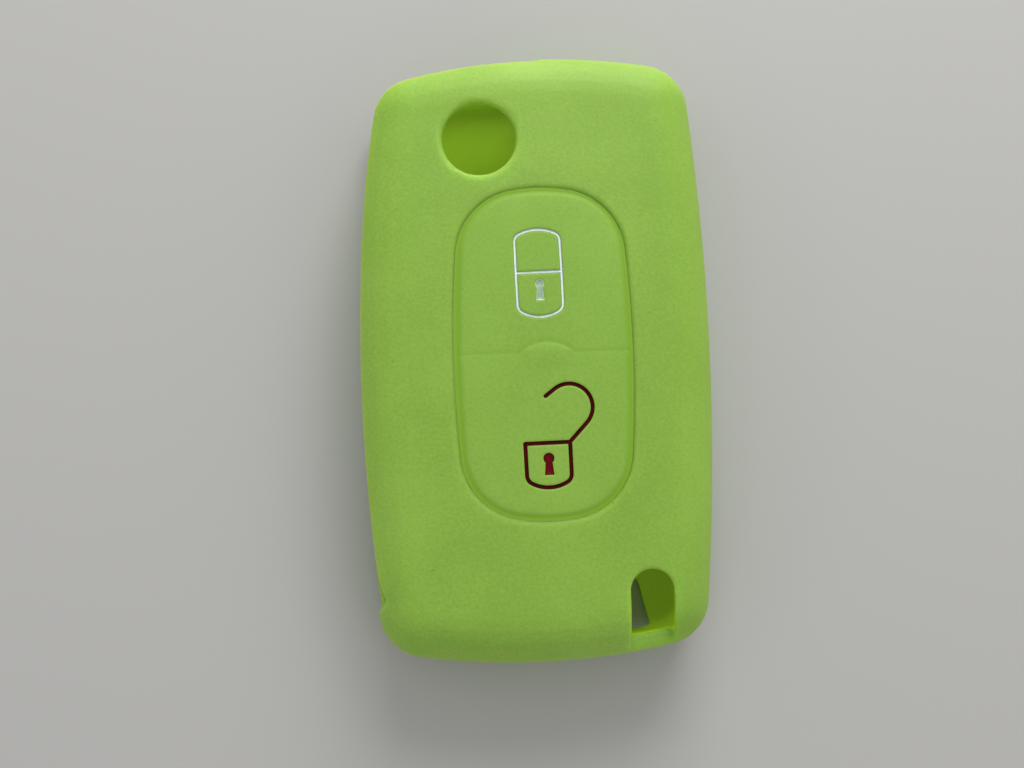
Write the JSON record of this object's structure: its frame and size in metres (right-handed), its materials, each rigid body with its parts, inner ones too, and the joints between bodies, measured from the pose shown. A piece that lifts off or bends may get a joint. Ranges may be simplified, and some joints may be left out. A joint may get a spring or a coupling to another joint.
{
  "type": "key fob cover",
  "caption": "Hollow silicone sleeve for a flip-out key fob, with sprung press pads under padlock signs, a round release hole, a side blade mouth and a key-ring notch.",
  "frame": {"origin": "centre of the plan outline, on the underside of the flat back", "axes": "+Z out of the button face, +Y towards the release-hole end, +X to the right when facing the buttons with the release hole at the top"},
  "size_m": [0.0436, 0.076, 0.018],
  "materials": {
    "silicone": "matte, slightly translucent lime silicone",
    "white_ink": "glossy white ink",
    "red_ink": "glossy dark red ink"
  },
  "bodies": {
    "sleeve": {"sleeve_shell": "silicone", "lock_pad_web": "silicone", "unlock_pad_web": "silicone"},
    "lock_button": {"lock_pad": "silicone"},
    "unlock_button": {"unlock_pad": "silicone"}
  },
  "joints": [
    {"name": "lock_press", "type": "slide", "parent": "sleeve", "child": "lock_button", "axis": [0, 0, -1], "range_m": [0, 0.0007], "stiffness_N_per_m": 1500, "deforming": ["lock_pad_web"]},
    {"name": "unlock_press", "type": "slide", "parent": "sleeve", "child": "unlock_button", "axis": [0, 0, -1], "range_m": [0, 0.0007], "stiffness_N_per_m": 1500, "deforming": ["unlock_pad_web"]}
  ]
}
